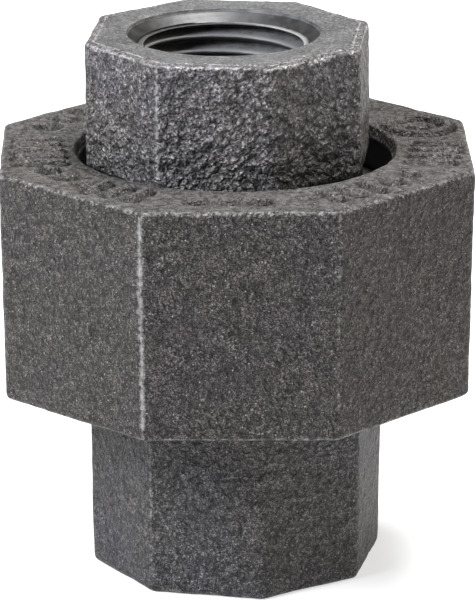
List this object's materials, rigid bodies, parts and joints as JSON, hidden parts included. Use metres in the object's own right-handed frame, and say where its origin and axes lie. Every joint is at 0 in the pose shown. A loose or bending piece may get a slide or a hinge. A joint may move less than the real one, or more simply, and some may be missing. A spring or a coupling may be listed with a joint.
{
  "type": "pipe union",
  "caption": "Octagonal screwed pipe union: two internally threaded ends drawn together on a ball seat by a captive nut.",
  "frame": {"origin": "middle of the head piece's end face, on the surface that the union stands on", "axes": "+Z along the union's axis, from the head piece to the tailpiece; a flat of the nut faces -Y"},
  "size_m": [0.0542, 0.0542, 0.0628],
  "materials": {
    "malleable_iron": "black heat-treated cast skin, machined ends and threads",
    "seat_brass": "turned, satin"
  },
  "bodies": {
    "head": {"head_piece": "malleable_iron", "brass_seat_ring": "seat_brass"},
    "tail": {"tailpiece": "malleable_iron"},
    "nut": {"union_nut": "malleable_iron"}
  },
  "joints": [
    {"name": "tail_lift", "type": "slide", "parent": "head", "child": "tail", "axis": [0, 0, 1], "range_m": [0, 0.01616]},
    {"name": "nut_spin", "type": "hinge", "parent": "tail", "child": "nut", "pos_m": [0, 0, 0.0358], "axis": [0, 0, 1], "range_deg": [0, 2520]}
  ],
  "couplings": [
    {"joint": "tail_lift", "follows": "nut_spin", "m_per_rad": 0.00036749}
  ]
}
